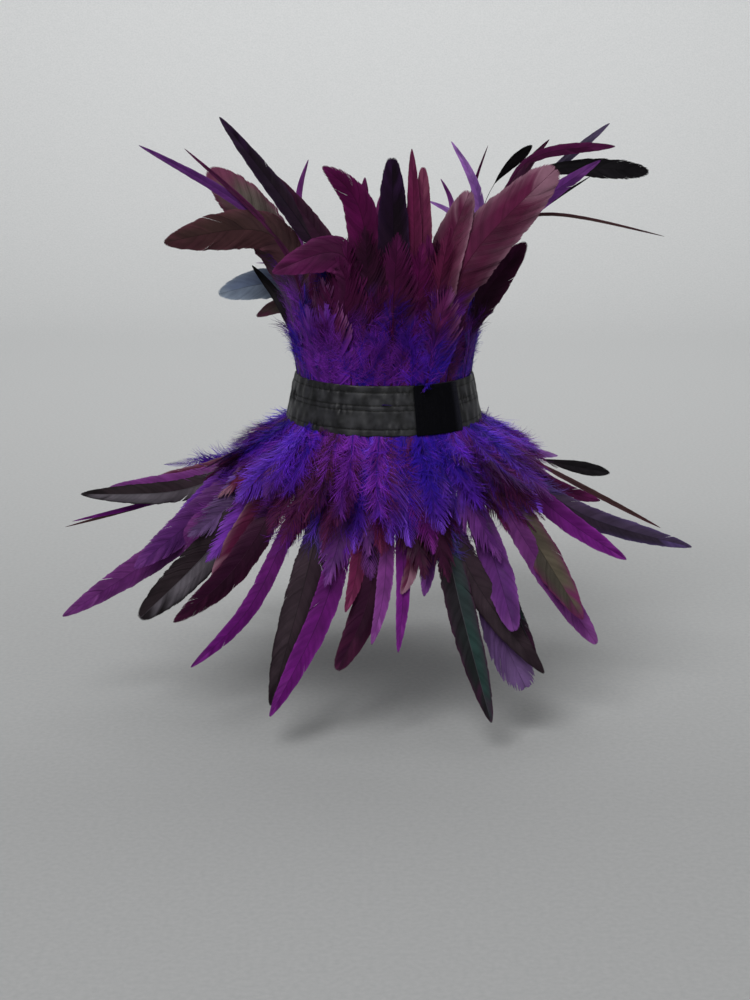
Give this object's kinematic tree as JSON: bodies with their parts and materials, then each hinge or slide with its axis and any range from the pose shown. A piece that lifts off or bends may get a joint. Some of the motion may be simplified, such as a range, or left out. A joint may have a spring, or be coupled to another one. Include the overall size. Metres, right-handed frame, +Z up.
{
  "type": "feather collar",
  "caption": "Stand-up feather collar: a black ribbon neck band with dyed violet and plum feathers rising round the neck and falling over the shoulders.",
  "frame": {"origin": "centre of the neck band, on the axis of the neck at the middle of the band's height", "axes": "+Z up along the axis of the neck, the front of the collar faces -Y, +X is the wearer's left"},
  "size_m": [0.4143, 0.2753, 0.3584],
  "materials": {
    "band_ribbon": "black woven ribbon with a faint sheen, puckered along its stitch lines",
    "closure": "smooth black tape",
    "upper_plumage": "dyed cock feathers, violet down below and plum, mauve, magenta and black vanes",
    "lower_plumage": "dyed cock feathers, violet down above and purple, magenta and black vanes"
  },
  "bodies": {
    "root": {"neck_band": "band_ribbon", "closure_tab": "closure", "upper_feathers": "upper_plumage", "lower_feathers": "lower_plumage"}
  },
  "joints": []
}
